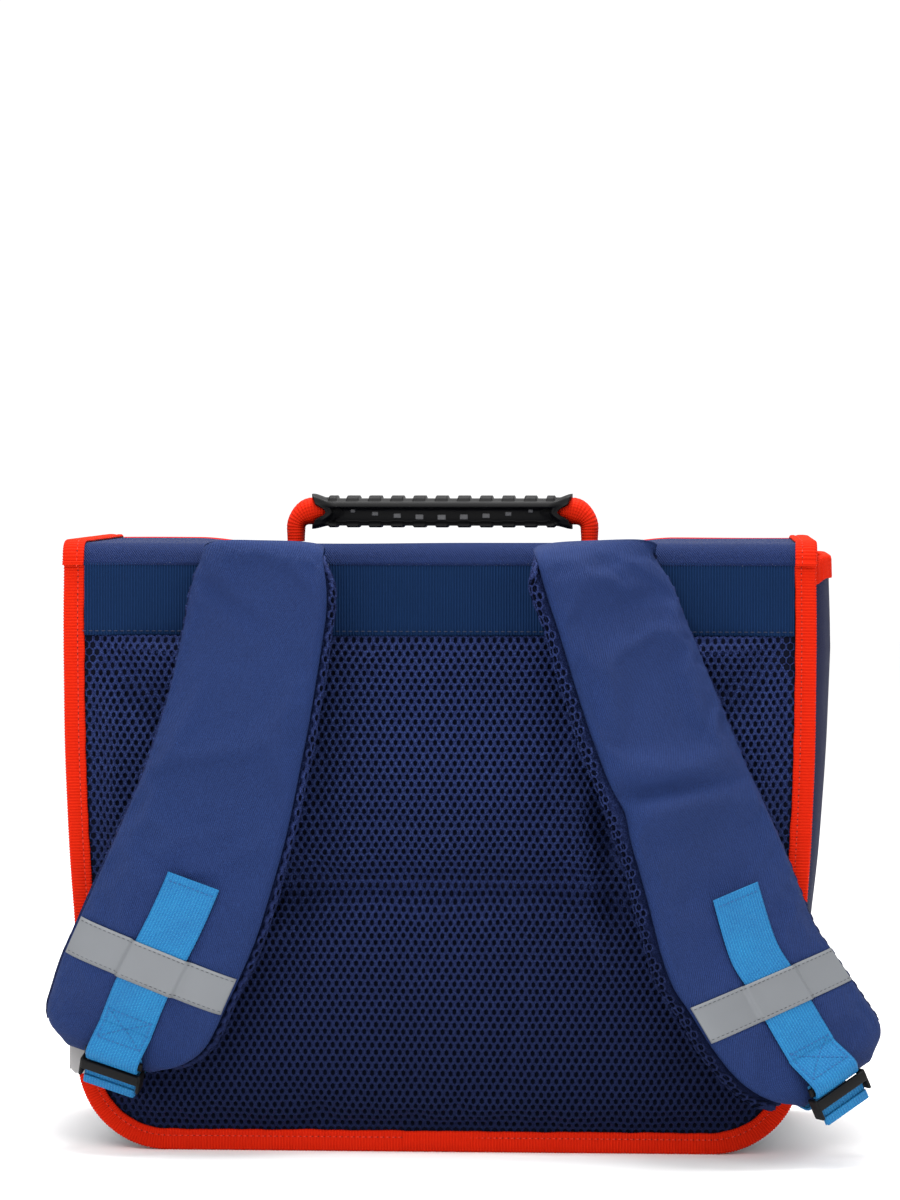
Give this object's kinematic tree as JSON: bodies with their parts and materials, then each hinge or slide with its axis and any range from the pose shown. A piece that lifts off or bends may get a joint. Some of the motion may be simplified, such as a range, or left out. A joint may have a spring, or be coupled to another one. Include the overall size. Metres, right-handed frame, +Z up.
{
  "type": "school satchel",
  "caption": "Boxy school satchel with closed flap, padded mesh back, ribbed carry handle and padded shoulder straps with ladder-lock buckles.",
  "frame": {"origin": "middle of the flat base, on the surface that the bag stands on", "axes": "+Z up; -Y is the side with the back pad and shoulder straps, +Y the flap's front; X runs along the back"},
  "size_m": [0.4203, 0.2325, 0.3329],
  "materials": {
    "twill": "navy polyester twill",
    "mesh": "dark blue air mesh over foam",
    "band": "ribbed webbing",
    "tape_red": "grosgrain tape",
    "webbing_blue": "light blue webbing",
    "reflective": "grey reflective tape",
    "plastic_black": "moulded, fine grain",
    "tab_grey": "light grey coated tape"
  },
  "bodies": {
    "root": {"back_panel": "mesh", "front_panel": "twill", "back_binding": "tape_red", "front_binding": "tape_red", "top_band": "band", "gusset": "twill", "gusset_binding_left": "tape_red", "gusset_binding_right": "tape_red", "flap": "twill", "flap_binding": "tape_red", "flap_piping": "tape_red", "handle_webbing": "tape_red", "handle_grip": "plastic_black", "strap_left": "twill", "strap_lining_left": "mesh", "strap_webbing_left": "webbing_blue", "reflector_left": "reflective", "buckle_left": "plastic_black", "anchor_tab_left": "tab_grey", "adjuster_left": "webbing_blue", "strap_right": "twill", "strap_lining_right": "mesh", "strap_webbing_right": "webbing_blue", "reflector_right": "reflective", "buckle_right": "plastic_black", "anchor_tab_right": "tab_grey", "adjuster_right": "webbing_blue", "clasp_left": "plastic_black", "clasp_right": "plastic_black"}
  },
  "joints": []
}
